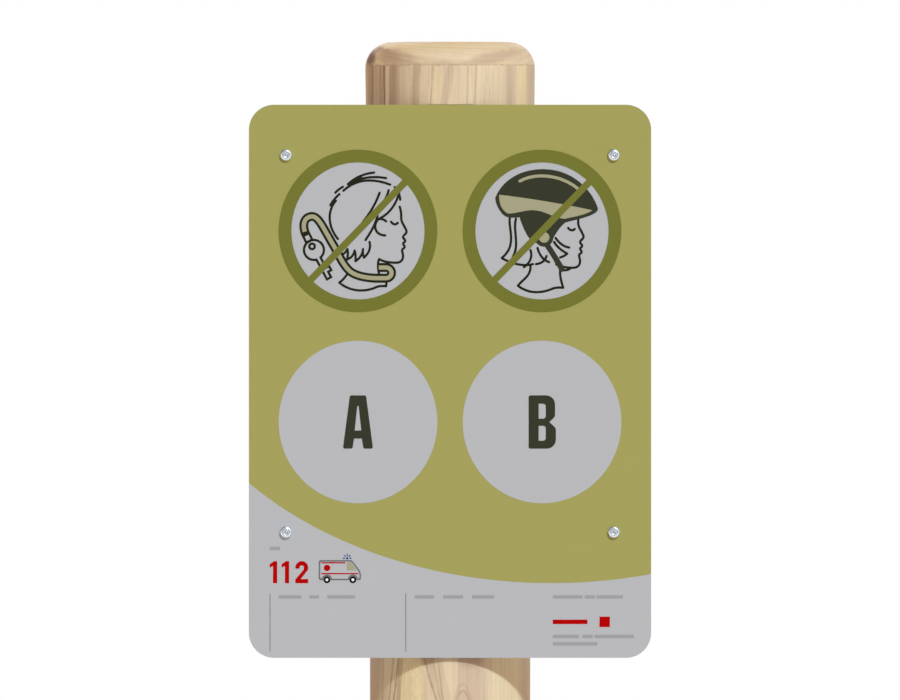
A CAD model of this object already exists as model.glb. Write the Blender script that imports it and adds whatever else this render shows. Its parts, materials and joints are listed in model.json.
"""Playground sign: materials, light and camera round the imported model, in metres, with Z up."""
import json
import math

import bpy
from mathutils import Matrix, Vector


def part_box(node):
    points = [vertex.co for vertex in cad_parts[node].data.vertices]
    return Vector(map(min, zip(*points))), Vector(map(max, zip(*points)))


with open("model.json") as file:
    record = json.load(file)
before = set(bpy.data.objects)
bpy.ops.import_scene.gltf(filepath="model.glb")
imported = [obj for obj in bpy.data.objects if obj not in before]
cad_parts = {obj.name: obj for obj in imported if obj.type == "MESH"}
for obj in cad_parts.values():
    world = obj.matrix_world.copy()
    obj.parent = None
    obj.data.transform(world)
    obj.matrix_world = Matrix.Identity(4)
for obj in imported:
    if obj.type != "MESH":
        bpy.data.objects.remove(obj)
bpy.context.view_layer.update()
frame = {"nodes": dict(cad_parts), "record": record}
nodes = frame["nodes"]
post_low, post_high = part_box("post")
panel_low, panel_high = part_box("panel_front_sheet")

# The camera stands far in front of the panel, and the photograph is 900 pixels wide
CAMERA_AT = (0.0, -30.0, 1.1931)
CAMERA_CLIP = (1.0, 200.0)
PHOTO_WIDTH = 900
FOCAL_PIXELS = 30087
SENSOR = 36.0

# Key light, with the direction in which it travels: from the upper right, in front of the panel
KEY_TRAVEL = (-0.44, 1.0, -0.815)
KEY_ANGLE = 5.0
KEY_STRENGTH = 2.63
KEY_COLOUR = (0.649, 0.838, 1.0)

# Soft light from all round: it and the key light add up to white on the panel, with warm shadows
AMBIENT = (0.497, 0.301, 0.138)

# Back light, which does the same for the rear: it comes from above, behind the post
BACK_TRAVEL = (0.12, -1.0, -0.55)
BACK_ANGLE = 30.0
BACK_STRENGTH = 1.05
BACK_COLOUR = (0.70, 0.87, 1.0)

# What metal sees: white, a darker camera's side, and a dark screen at the upper left
CAMERA_SIDE = 0.38
SIDE_BORDER = (-0.98, -0.55)
SCREEN_AT = (-0.609, 0.15, 0.779)
SCREEN_EDGE = (0.64, 0.80)
SCREEN_SHADE = 0.05

# Brightness that the surface of a printed film adds to its ink
SHEEN = 0.004

# The floor keeps the shadow near the post, is lifted a little, and ends in white
FLOOR_HALF = 30.0
FLOOR_NEAR, FLOOR_FAR = 0.9, 4.5
FLOOR_LIFT = 0.26
WHITE = (1.0, 1.0, 1.0, 1.0)

# Heights above the ground: where the post's top is seen to curve in, and the panel's two edges
SHOULDER_DROP = 0.0233
SHOULDER = post_high.z - SHOULDER_DROP
PANEL_TOP = panel_high.z
PANEL_FOOT = panel_low.z

# Heights between which the upper streaks begin behind the panel, and the stretch of the lower ones
UPPER_BEGIN = (PANEL_TOP - 0.137, PANEL_TOP - 0.057)
LOWER_STRETCH = (PANEL_FOOT - 0.137, PANEL_FOOT + 0.113)
LOWER_SOFT = 0.04

# Timber: the pith's place, how far it wanders as it climbs, and the width of a year's ring
PITH = (0.004, -0.006)
PITH_WANDER = 0.010
RING = 0.0047

# The post's front begins gently between these two places along Y
FRONT = (0.002, -0.018)


def paint(red, green, blue):
    """Linear colour of an sRGB colour given from 0 to 255."""
    values = [c / 255 for c in (red, green, blue)]
    return (*[v / 12.92 if v <= 0.04045 else ((v + 0.055) / 1.055) ** 2.4 for v in values], 1.0)


def dim(colour, factor):
    return (*[c * factor for c in colour[:3]], 1.0)


def ink(red, green, blue):
    """Colour of a printed film without the sheen that the light adds to it."""
    return (*[max(c - SHEEN, 0.001) for c in paint(red, green, blue)[:3]], 1.0)


CREAM, HONEY, TAN = paint(227, 207, 172), paint(237, 215, 169), paint(204, 178, 150)
BROWN, DARK = paint(163, 125, 103), paint(122, 78, 62)
END_GRAIN = paint(230, 209, 180)


class Tree:
    """A node tree, with short names for the nodes that it uses."""

    def __init__(self, tree):
        self.nodes, self.links = tree.nodes, tree.links

    def add(self, kind, values=None, **settings):
        node = self.nodes.new(kind)
        for key, value in settings.items():
            setattr(node, key, value)
        for key, value in (values or {}).items():
            self.feed(node.inputs[key], value)
        return node

    def feed(self, socket, value):
        if isinstance(value, bpy.types.NodeSocket):
            self.links.new(value, socket)
        else:
            socket.default_value = value

    def math(self, operation, *values):
        node = self.add("ShaderNodeMath", operation=operation)
        for socket, value in zip(node.inputs, values):
            self.feed(socket, value)
        return node.outputs[0]

    def times(self, first, second):
        return self.math("MULTIPLY", first, second)

    def sway(self, value, noise, reach):
        """The value, moved by a noise from 0 to 1 whose middle leaves it in place."""
        return self.math("MULTIPLY_ADD", self.math("SUBTRACT", noise, 0.5), reach, value)

    def vector(self, operation, *values):
        node = self.add("ShaderNodeVectorMath", operation=operation)
        for socket, value in zip(node.inputs, values):
            self.feed(socket, value)
        return node.outputs["Value" if operation in ("LENGTH", "DOT_PRODUCT") else "Vector"]

    def split(self, place):
        return self.add("ShaderNodeSeparateXYZ", {"Vector": place}).outputs

    def join(self, *parts):
        return self.add("ShaderNodeCombineXYZ", dict(zip("XYZ", parts))).outputs[0]

    def length(self, across, along):
        return self.vector("LENGTH", self.join(across, along, 0.0))

    def noise(self, place, scale=1.0, detail=2.0, rough=0.5):
        values = {"Vector": place, "Scale": scale, "Detail": detail, "Roughness": rough}
        return self.add("ShaderNodeTexNoise", values).outputs[0]

    def line_noise(self, along, scale, detail=1.0):
        values = {"W": along, "Scale": scale, "Detail": detail}
        return self.add("ShaderNodeTexNoise", values, noise_dimensions="1D").outputs[0]

    def fit(self, value, low, high, to_low=0.0, to_high=1.0, smooth=True):
        values = {"Value": value, "From Min": low, "From Max": high}
        values.update({"To Min": to_low, "To Max": to_high})
        kind = "SMOOTHSTEP" if smooth else "LINEAR"
        return self.add("ShaderNodeMapRange", values, interpolation_type=kind).outputs[0]

    def ramp(self, value, low, high, to_low, to_high):
        """As fit, without the soft ends."""
        return self.fit(value, low, high, to_low, to_high, smooth=False)

    def between(self, value, low, high, soft, soft_high=None):
        """1 between low and high, with soft borders."""
        rise = self.fit(value, low - soft, low + soft)
        soft_high = soft if soft_high is None else soft_high
        return self.times(rise, self.fit(value, high - soft_high, high + soft_high, 1.0, 0.0))

    def curve(self, value, stops):
        """A grey ramp through stops of [position, value]."""
        node = self.add("ShaderNodeValToRGB", {"Fac": value})
        points = node.color_ramp.elements
        while len(points) < len(stops):
            points.new(1.0)
        for point, (position, grey) in zip(points, stops):
            point.position = position
            point.color = (grey, grey, grey, 1.0)
        return node.outputs[0]

    def mix(self, amount, first, second, kind="MIX"):
        node = self.add("ShaderNodeMix", data_type="RGBA", blend_type=kind)
        for index, value in ((0, amount), (6, first), (7, second)):
            self.feed(node.inputs[index], value)
        return node.outputs[2]

    def tint(self, colour, by, amount=1.0):
        """The colour, multiplied by another where amount is 1."""
        return self.mix(amount, colour, self.mix(1.0, colour, by, "MULTIPLY"))

    def seen(self):
        """1 for what the camera, metal and glass see, and 0 for light that falls on a surface."""
        rays = self.add("ShaderNodeLightPath").outputs
        mirrored = self.math("MAXIMUM", rays["Is Glossy Ray"], rays["Is Transmission Ray"])
        return self.math("MAXIMUM", rays["Is Camera Ray"], mirrored)


class Graph(Tree):
    """The node tree of one material."""

    def __init__(self, name):
        self.material = bpy.data.materials.new(name)
        self.material.use_nodes = True
        super().__init__(self.material.node_tree)
        self.shader = self.nodes["Principled BSDF"]
        place = self.add("ShaderNodeTexCoord")
        self.place, self.normal = place.outputs["Object"], place.outputs["Normal"]

    def stretch(self, x, y, z):
        """The place, with each axis scaled."""
        return self.vector("MULTIPLY", self.place, (x, y, z))

    def bump(self, height, distance, strength):
        values = {"Height": height, "Distance": distance, "Strength": strength}
        self.feed(self.shader.inputs["Normal"], self.add("ShaderNodeBump", values).outputs[0])

    def finish(self, colour, rough, metal=0.0, specular=0.5):
        self.feed(self.shader.inputs["Base Color"], colour)
        self.feed(self.shader.inputs["Roughness"], rough)
        self.shader.inputs["Metallic"].default_value = metal
        self.shader.inputs["Specular IOR Level"].default_value = specular
        return self.material


class Streaks:
    """Marks on the visible front of the post, laid over its colour one by one, round one level."""

    # Soft border of a streak that names none
    SOFT = 0.0008
    # Shares of a smudge's reach where it begins to fade and where it ends
    FADE, END = 0.45, 1.25
    # Soft border of an arch, as a share of half its width
    ARCH_SOFT = 0.6

    def __init__(self, graph, colour, across, height, mask, level):
        self.graph, self.colour, self.mask = graph, colour, mask
        self.across, self.height, self.level = across, height, level

    def lay(self, tone, at, half, amount, lean=0.0, soft=SOFT, soft_right=None):
        """A streak whose middle crosses the level at the place at, leaning as it rises."""
        g = self.graph
        middle = g.math("MULTIPLY_ADD", self.height, lean, at - lean * self.level)
        off = g.math("SUBTRACT", self.across, middle)
        band = g.times(g.between(off, -half, half, soft, soft_right), self.mask)
        self.colour = g.mix(g.times(band, amount), self.colour, tone)

    def smudge(self, tone, at, half, tall, amount, rise=0.0, slope=0.0):
        """A soft oval patch that lies rise above the level, flat or along a slope."""
        g = self.graph
        across = g.math("SUBTRACT", self.across, at)
        above = g.math("SUBTRACT", self.height, self.level + rise)
        up = g.math("MULTIPLY_ADD", across, -slope, above)
        out = g.length(g.math("DIVIDE", across, half), g.math("DIVIDE", up, tall))
        patch = g.times(g.fit(out, self.FADE, self.END, amount, 0.0), self.mask)
        self.colour = g.mix(patch, self.colour, tone)

    def arch(self, tone, at, half, amount, rise, bend):
        """The pointed arch that a growth ring draws on a flat cut, with its tip rise above the level."""
        g = self.graph
        side = g.math("SUBTRACT", self.across, at)
        below = g.math("SUBTRACT", self.level + rise, self.height)
        drop = g.math("MULTIPLY_ADD", g.times(side, side), -bend, below)
        slope = g.length(1.0, g.times(side, 2 * bend))
        line = g.between(g.math("DIVIDE", drop, slope), -half, half, self.ARCH_SOFT * half)
        self.colour = g.mix(g.times(g.times(line, self.mask), amount), self.colour, tone)


def upper_streaks(s):
    """Streaks between the panel's upper edge and the rounded top."""
    s.lay(HONEY, at=-0.0130, half=0.0045, amount=0.4, soft=0.0020)
    s.lay(HONEY, at=0.0716, half=0.0045, amount=0.8, soft=0.0020)
    s.lay(TAN, at=-0.0500, half=0.0300, amount=0.1, soft=0.0060)
    s.lay(BROWN, at=-0.0760, half=0.0100, amount=0.28, soft=0.0020)
    s.lay(BROWN, at=-0.0565, half=0.0042, amount=0.62, lean=0.013, soft=0.0009, soft_right=0.0034)
    s.lay(BROWN, at=-0.0480, half=0.0060, amount=0.12, lean=-0.05, soft=0.0030)
    s.lay(DARK, at=-0.0782, half=0.0009, amount=0.5, lean=0.03)
    s.lay(BROWN, at=-0.0797, half=0.0018, amount=0.35)
    s.lay(BROWN, at=-0.0686, half=0.0015, amount=0.42, soft=0.0010)
    s.lay(DARK, at=-0.0651, half=0.0011, amount=0.72, soft=0.0007)
    s.lay(CREAM, at=-0.0620, half=0.0012, amount=0.5)
    s.lay(BROWN, at=-0.0353, half=0.0036, amount=0.42, lean=0.058, soft=0.0019)
    s.lay(BROWN, at=-0.0193, half=0.0005, amount=0.5, lean=0.045, soft=0.0005)
    s.lay(TAN, at=-0.0062, half=0.0040, amount=0.85, lean=0.175, soft=0.0009, soft_right=0.0030)
    s.lay(BROWN, at=0.0178, half=0.0006, amount=0.45, soft=0.0009)
    s.lay(BROWN, at=0.0247, half=0.0009, amount=0.42, lean=0.03, soft=0.0009)
    s.lay(TAN, at=0.0588, half=0.0040, amount=0.75, lean=0.03, soft=0.0030)
    s.lay(TAN, at=0.0830, half=0.0060, amount=0.75, soft=0.0020)
    return s.colour


def lower_streaks(s):
    """Streaks below the panel's lower edge."""
    s.lay(HONEY, at=-0.0390, half=0.0120, amount=0.9, soft=0.0040)
    s.lay(HONEY, at=0.0580, half=0.0160, amount=0.3, soft=0.0040)
    s.lay(BROWN, at=-0.0732, half=0.0060, amount=0.45, soft=0.0020)
    s.lay(CREAM, at=-0.0590, half=0.0090, amount=0.5, lean=0.09, soft=0.0030)
    s.lay(TAN, at=-0.0178, half=0.0085, amount=0.45, lean=-0.25, soft=0.0020)
    s.lay(TAN, at=0.0218, half=0.0142, amount=0.75, soft=0.0016, soft_right=0.0050)
    s.lay(BROWN, at=-0.0785, half=0.0006, amount=0.5)
    s.lay(BROWN, at=-0.0669, half=0.0005, amount=0.5)
    s.lay(BROWN, at=-0.0490, half=0.0024, amount=0.42, lean=0.06, soft=0.0010)
    s.lay(DARK, at=-0.0561, half=0.0006, amount=0.42, lean=0.11, soft=0.0007)
    s.lay(DARK, at=-0.0514, half=0.0007, amount=0.55, lean=0.115, soft=0.0007)
    s.lay(BROWN, at=-0.0262, half=0.0008, amount=0.65, lean=-0.30, soft=0.0009)
    s.lay(BROWN, at=-0.0174, half=0.0006, amount=0.35, lean=-0.19)
    s.lay(BROWN, at=-0.0119, half=0.0007, amount=0.50, lean=-0.11, soft=0.0009)
    s.smudge(BROWN, at=0.0190, half=0.0150, tall=0.0120, amount=0.35)
    s.smudge(BROWN, at=-0.0225, half=0.0080, tall=0.0100, amount=0.35)
    s.arch(BROWN, at=0.0125, half=0.0011, amount=0.4, rise=-0.033, bend=220.0)
    s.arch(BROWN, at=0.0125, half=0.0011, amount=0.22, rise=-0.026, bend=220.0)
    s.lay(TAN, at=0.0760, half=0.0060, amount=0.6, soft=0.0030)
    return s.colour


def top_smudges(s):
    """Patches on the rounded top, where it cuts across the growth rings."""
    s.smudge(dim(HONEY, 0.86), at=-0.012, half=0.068, tall=0.0050, amount=0.7, rise=0.0200)
    s.smudge(HONEY, at=-0.055, half=0.030, tall=0.0060, amount=0.4, rise=0.0170)
    s.smudge(TAN, at=-0.050, half=0.019, tall=0.0080, amount=0.9, rise=0.0075, slope=-0.25)
    s.smudge(BROWN, at=-0.059, half=0.013, tall=0.0090, amount=0.36, rise=0.0070, slope=-0.25)
    s.smudge(BROWN, at=-0.067, half=0.009, tall=0.0022, amount=0.5, rise=0.0160, slope=-0.3)
    s.smudge(DARK, at=-0.080, half=0.0062, tall=0.0090, amount=0.85, rise=0.0080)
    s.smudge(BROWN, at=-0.073, half=0.0070, tall=0.0030, amount=0.6, rise=0.0150, slope=0.5)
    s.smudge(TAN, at=0.044, half=0.032, tall=0.0060, amount=1.0, rise=0.0080, slope=0.2)
    s.smudge(TAN, at=-0.010, half=0.036, tall=0.0025, amount=0.5, rise=0.0010)
    return s.colour


class Timber(Graph):
    """Round timber: rings that the rounded top cuts nearly level, and streaks along the front."""

    # How dark a ring is, and how open its pores are, from one year's border to the next
    RING_EDGE = [[0.0, 0.9], [0.05, 0.35], [0.16, 0.06], [0.62, 0.1], [0.9, 0.45], [1.0, 0.9]]
    PORE_SHARE = [[0.0, 1.0], [0.3, 0.8], [0.5, 0.1], [1.0, 0.0]]

    def __init__(self):
        super().__init__("wood")
        self.x, y, self.z = self.split(self.place)
        self.front = self.fit(y, *FRONT)
        self.below = self.fit(self.z, SHOULDER - 0.0009, SHOULDER + 0.0005, 1.0, 0.0)
        self.on_top = self.times(self.front, self.math("SUBTRACT", 1.0, self.below))
        self.radius = self.from_pith(y)
        broad = self.noise(self.stretch(11.0, 11.0, 2.4), detail=1.0)
        small = self.noise(self.stretch(60.0, 60.0, 9.0))
        age = self.sway(self.math("DIVIDE", self.radius, RING), broad, 1.6)
        self.age = self.sway(age, small, 0.35)
        self.part = self.math("FRACT", self.age)
        self.line = self.ring_lines()

    def from_pith(self, y):
        """Distance from the pith, which wanders as it climbs."""
        across = self.line_noise(self.z, 1.9)
        along = self.line_noise(self.math("ADD", self.z, 7.3), 1.6)
        from_x = self.sway(self.math("SUBTRACT", self.x, PITH[0]), across, PITH_WANDER)
        from_y = self.sway(self.math("SUBTRACT", y, PITH[1]), along, PITH_WANDER)
        return self.length(from_x, from_y)

    def ring_lines(self):
        """Borders of the years, each of its own strength, and fainter on the front."""
        year = {"W": self.math("FLOOR", self.age)}
        strength = self.add("ShaderNodeTexWhiteNoise", year, noise_dimensions="1D").outputs["Value"]
        line = self.times(self.curve(self.part, self.RING_EDGE), self.ramp(strength, 0.0, 1.0, 0.1, 0.8))
        return self.times(line, self.ramp(self.front, 0.0, 1.0, 1.0, 0.25))

    def ring_colour(self):
        tone = self.fit(self.line_noise(self.age, 0.9, detail=1.5), 0.42, 0.62)
        patch = self.fit(self.noise(self.stretch(30.0, 30.0, 2.0)), 0.35, 0.7)
        colour = self.mix(self.times(tone, self.ramp(self.front, 0.0, 1.0, 0.7, 0.12)), CREAM, TAN)
        colour = self.mix(self.times(patch, 0.2), colour, TAN)
        return self.mix(self.times(self.line, 0.8), colour, BROWN)

    def streaks(self, colour):
        """Streaks on the front, below the rounded top, and patches on the rounded top."""
        face = self.times(self.front, self.below)
        wave = self.noise(self.stretch(45.0, 45.0, 5.0))
        ragged = self.noise(self.stretch(420.0, 420.0, 26.0), rough=0.6)
        across = self.sway(self.sway(self.x, wave, 0.0022), ragged, 0.0026)
        upper = self.times(face, self.fit(self.z, *UPPER_BEGIN))
        lower = self.times(face, self.between(self.z, *LOWER_STRETCH, LOWER_SOFT))
        crumple = self.noise(self.place, 120.0)
        height = self.sway(self.z, crumple, 0.006)
        colour = upper_streaks(Streaks(self, colour, across, self.z, upper, PANEL_TOP))
        colour = lower_streaks(Streaks(self, colour, across, self.z, lower, PANEL_FOOT))
        colour = top_smudges(Streaks(self, colour, across, height, self.front, SHOULDER))
        return self.torn_fibres(colour, crumple)

    def torn_fibres(self, colour, crumple):
        """Torn fibres where the rounded top begins."""
        height = self.sway(self.z, crumple, 0.0012)
        edge = self.between(height, SHOULDER - 0.0004, SHOULDER + 0.0007, soft=0.0007)
        torn = self.fit(self.line_noise(self.x, 300.0, detail=2.0), 0.40, 0.62, 0.15, 0.6)
        return self.mix(self.times(self.times(edge, torn), self.front), colour, BROWN)

    def level_grain(self, colour):
        """Level lines on the rounded top."""
        grain = self.line_noise(self.math("MULTIPLY_ADD", self.x, 0.03, self.radius), 620.0, detail=2.0)
        level = self.mix(self.fit(grain, 0.35, 0.65), (0.96, 0.94, 0.92, 1.0), dim(WHITE, 1.04))
        return self.tint(colour, level, self.on_top)

    def fibres(self, colour):
        """Fibres and open pores run along the post, and show as dots in the end grain."""
        fibre = self.noise(self.stretch(1.0, 1.0, 0.022), 1500.0, detail=3.0, rough=0.6)
        streak = self.noise(self.stretch(1.0, 1.0, 0.045), 330.0, detail=3.0)
        pore = self.fit(self.noise(self.stretch(1.0, 1.0, 0.05), 2300.0, detail=1.0), 0.60, 0.72)
        pore = self.times(pore, self.curve(self.part, self.PORE_SHARE))
        upright = self.math("MULTIPLY_ADD", self.on_top, -0.8, 1.0)
        soft = self.mix(self.fit(streak, 0.3, 0.7), (0.97, 0.95, 0.94, 1.0), dim(WHITE, 1.06))
        fine = self.mix(self.fit(fibre, 0.3, 0.7), dim(WHITE, 0.95), dim(WHITE, 1.05))
        colour = self.tint(self.tint(colour, soft, upright), fine, upright)
        height = self.math("MULTIPLY_ADD", fibre, 0.5, self.times(self.line, -0.4))
        self.bump(self.math("MULTIPLY_ADD", pore, -0.8, height), distance=0.00025, strength=0.7)
        return self.mix(self.times(pore, 0.3), colour, dim(BROWN, 0.7)), fibre

    def end_grain(self, colour):
        """The end grain soaks up more oil."""
        up = self.fit(self.split(self.normal)[2], 0.87, 1.0)
        return self.tint(colour, END_GRAIN, up)


def wood():
    """The post's timber, peeled, sanded and oiled."""
    g = Timber()
    colour = g.level_grain(g.streaks(g.ring_colour()))
    colour, fibre = g.fibres(colour)
    return g.finish(g.end_grain(colour), g.ramp(fibre, 0.2, 0.8, 0.5, 0.66), specular=0.25)


def film(name, colour, specular=0.06):
    """Printed film: even ink with a faint grain, and the skin of orange peel that laminates have."""
    g = Graph(name)
    grain = g.noise(g.place, 2600.0, rough=0.7)
    cloud = g.noise(g.place, 14.0, detail=3.0)
    shade = g.sway(g.sway(1.0, grain, 0.05), cloud, 0.02)
    even = g.mix(1.0, colour, g.join(shade, shade, shade), "MULTIPLY")
    peel = g.noise(g.place, 420.0, detail=1.0)
    g.bump(g.math("MULTIPLY_ADD", grain, 0.12, peel), distance=0.00006, strength=0.6)
    return g.finish(even, g.ramp(cloud, 0.3, 0.7, 0.46, 0.55), specular=specular)


def rolled_sheet():
    """Lacquered aluminium with faint lines along the rolling direction."""
    g = Graph("sheet")
    lines = g.noise(g.stretch(1.0, 1.0, 0.006), 1700.0, detail=3.0, rough=0.6)
    cloud = g.noise(g.place, 9.0, detail=3.0)
    colour = g.mix(lines, paint(190, 193, 196), paint(214, 216, 218))
    colour = g.mix(g.fit(cloud, 0.3, 0.7, 0.0, 0.25), colour, paint(186, 190, 192))
    g.bump(lines, distance=0.00003, strength=0.5)
    return g.finish(colour, g.ramp(lines, 0.2, 0.8, 0.34, 0.48), metal=0.85)


def core_plastic():
    """Sawn edge of the black core: fine marks across the thickness."""
    g = Graph("core")
    marks = g.noise(g.stretch(1.0, 0.02, 1.0), 1100.0)
    speck = g.noise(g.place, 2400.0, detail=1.0)
    colour = g.mix(marks, paint(36, 37, 38), paint(58, 59, 60))
    g.bump(g.math("ADD", marks, speck), distance=0.00008, strength=0.7)
    return g.finish(colour, g.ramp(speck, 0.3, 0.7, 0.55, 0.72), specular=0.3)


def galvanised():
    """Zinc bath finish: spangles a few millimetres across, each with its own brightness."""
    g = Graph("galvanised")
    wander = g.noise(g.place, 160.0)
    bend = g.vector("MULTIPLY", g.join(wander, wander, wander), (0.004, 0.004, 0.004))
    values = {"Vector": g.vector("ADD", g.place, bend), "Scale": 150.0}
    tint = g.split(g.add("ShaderNodeTexVoronoi", values).outputs["Color"])[0]
    bloom = g.fit(g.noise(g.place, 22.0, detail=4.0, rough=0.6), 0.45, 0.7)
    colour = g.mix(tint, paint(148, 153, 157), paint(198, 202, 205))
    colour = g.mix(g.times(bloom, 0.4), colour, paint(206, 208, 208))
    rough = g.math("ADD", g.ramp(tint, 0.0, 1.0, 0.32, 0.5), g.times(bloom, 0.12))
    g.bump(g.math("ADD", tint, g.noise(g.place, 700.0)), distance=0.00006, strength=0.6)
    return g.finish(colour, rough, metal=0.9)


def middle(name):
    """Middle of a CAD node's box."""
    low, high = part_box(name)
    return (low + high) / 2


def turned_steel():
    """Bright stainless steel with the turning marks of each head round its own axis."""
    upper, lower = middle("bolt_upper_right"), middle("bolt_lower_right")
    g = Graph("bolt_steel")
    x, _, z = g.split(g.place)
    # The left bolts mirror the right ones
    side = g.math("SUBTRACT", g.math("ABSOLUTE", x), upper.x)
    from_upper = g.math("ABSOLUTE", g.math("SUBTRACT", z, upper.z))
    from_lower = g.math("ABSOLUTE", g.math("SUBTRACT", z, lower.z))
    out = g.length(side, g.math("MINIMUM", from_lower, from_upper))
    marks = g.line_noise(out, 9000.0, detail=2.0)
    smear = g.noise(g.place, 520.0)
    colour = g.mix(smear, paint(214, 220, 232), paint(236, 239, 244))
    g.bump(marks, distance=0.00002, strength=0.5)
    rough = g.math("MULTIPLY_ADD", marks, 0.1, g.ramp(smear, 0.3, 0.7, 0.14, 0.24))
    return g.finish(colour, rough, metal=1.0)


def zinc_plate():
    """Thin bright zinc with a milky bloom and a trace of yellow."""
    g = Graph("zinc")
    cloud = g.noise(g.place, 260.0, detail=3.0)
    fine = g.noise(g.place, 2200.0)
    colour = g.mix(g.fit(cloud, 0.35, 0.65), paint(196, 200, 204), paint(214, 211, 196))
    g.bump(fine, distance=0.00003, strength=0.6)
    return g.finish(colour, g.ramp(fine, 0.2, 0.8, 0.26, 0.42), metal=1.0)


def pale_floor():
    """Pale floor that keeps the shadow near the post and fades to white away from it."""
    g = Graph("floor")
    speck = g.noise(g.place, 60.0, detail=3.0)
    g.finish(g.mix(speck, paint(222, 226, 231), paint(228, 232, 237)), 0.7, specular=0.1)
    x, y, _ = g.split(g.place)
    away = g.fit(g.length(x, y), FLOOR_NEAR, FLOOR_FAR)
    seen = g.seen()
    white = g.add("ShaderNodeEmission", {"Color": WHITE, "Strength": 1.0})
    lift = g.add("ShaderNodeEmission", {"Color": WHITE, "Strength": g.times(seen, FLOOR_LIFT)})
    pale = g.add("ShaderNodeAddShader", {0: g.shader.outputs[0], 1: lift.outputs[0]})
    values = {0: g.times(away, seen), 1: pale.outputs[0], 2: white.outputs[0]}
    mixed = g.add("ShaderNodeMixShader", values)
    g.feed(g.nodes["Material Output"].inputs["Surface"], mixed.outputs[0])
    return g.material


MATERIALS = {
    "wood": wood(),
    "galvanised": galvanised(),
    "sheet": rolled_sheet(),
    "core": core_plastic(),
    "olive_film": film("olive_film", ink(166, 161, 93)),
    "grey_film": film("grey_film", ink(186, 186, 188)),
    "ring_film": film("ring_film", ink(118, 119, 52)),
    "dark_film": film("dark_film", ink(57, 59, 45)),
    "outline_film": film("outline_film", ink(38, 40, 29)),
    "tan_film": film("tan_film", ink(168, 163, 131)),
    "red_film": film("red_film", ink(180, 0, 4), specular=0.02),
    "line_film": film("line_film", ink(114, 115, 116)),
    "pale_film": film("pale_film", ink(161, 161, 162)),
    "black_film": film("black_film", ink(24, 24, 18)),
    "white_film": film("white_film", ink(244, 244, 242)),
    "blue_film": film("blue_film", ink(6, 62, 132)),
    "bolt_steel": turned_steel(),
    "zinc": zinc_plate(),
}

for part in frame["record"]["subparts"]:
    node = nodes[part["node"]]
    node.data.materials.clear()
    node.data.materials.append(MATERIALS[part["material_slot"]])


def sun(name, travel, angle, strength, colour):
    """A lamp whose light goes along travel."""
    lamp = bpy.data.lights.new(name, "SUN")
    lamp.energy, lamp.color, lamp.angle = strength, colour, math.radians(angle)
    thing = bpy.data.objects.new(name, lamp)
    bpy.context.collection.objects.link(thing)
    thing.rotation_euler = Vector(travel).to_track_quat("-Z", "Y").to_euler()


def make_world():
    """Soft even light for the object, and plain white for what the camera and the metal see."""
    world = bpy.data.worlds.new("studio")
    world.use_nodes = True
    t = Tree(world.node_tree)
    way = t.add("ShaderNodeTexCoord").outputs["Generated"]
    side = t.fit(t.split(way)[1], *SIDE_BORDER, CAMERA_SIDE, 1.0)
    screen = t.fit(t.vector("DOT_PRODUCT", way, SCREEN_AT), *SCREEN_EDGE, 1.0, SCREEN_SHADE)
    camera_ray = t.add("ShaderNodeLightPath").outputs["Is Camera Ray"]
    soft = t.nodes["Background"]
    t.feed(soft.inputs["Color"], (*AMBIENT, 1.0))
    values = {"Color": WHITE, "Strength": t.math("MAXIMUM", t.times(side, screen), camera_ray)}
    white = t.add("ShaderNodeBackground", values)
    mixed = t.add("ShaderNodeMixShader", {0: t.seen(), 1: soft.outputs[0], 2: white.outputs[0]})
    t.feed(t.nodes["World Output"].inputs["Surface"], mixed.outputs[0])
    bpy.context.scene.world = world


def make_floor():
    half = FLOOR_HALF
    mesh = bpy.data.meshes.new("floor")
    corners = [(-half, -half), (half, -half), (half, half), (-half, half)]
    mesh.from_pydata([(x, y, post_low.z) for x, y in corners], [], [(0, 1, 2, 3)])
    floor = bpy.data.objects.new("floor", mesh)
    bpy.context.collection.objects.link(floor)
    mesh.materials.append(pale_floor())


def make_camera():
    data = bpy.data.cameras.new("camera")
    data.sensor_width = SENSOR
    data.lens = FOCAL_PIXELS * SENSOR / PHOTO_WIDTH
    data.clip_start, data.clip_end = CAMERA_CLIP
    camera = bpy.data.objects.new("camera", data)
    bpy.context.collection.objects.link(camera)
    camera.location = CAMERA_AT
    camera.rotation_euler = (math.pi / 2, 0.0, 0.0)
    bpy.context.scene.camera = camera


make_world()
make_floor()
make_camera()
sun("key", KEY_TRAVEL, KEY_ANGLE, KEY_STRENGTH, KEY_COLOUR)
sun("back", BACK_TRAVEL, BACK_ANGLE, BACK_STRENGTH, BACK_COLOUR)
bpy.context.scene.view_settings.view_transform = "Standard"
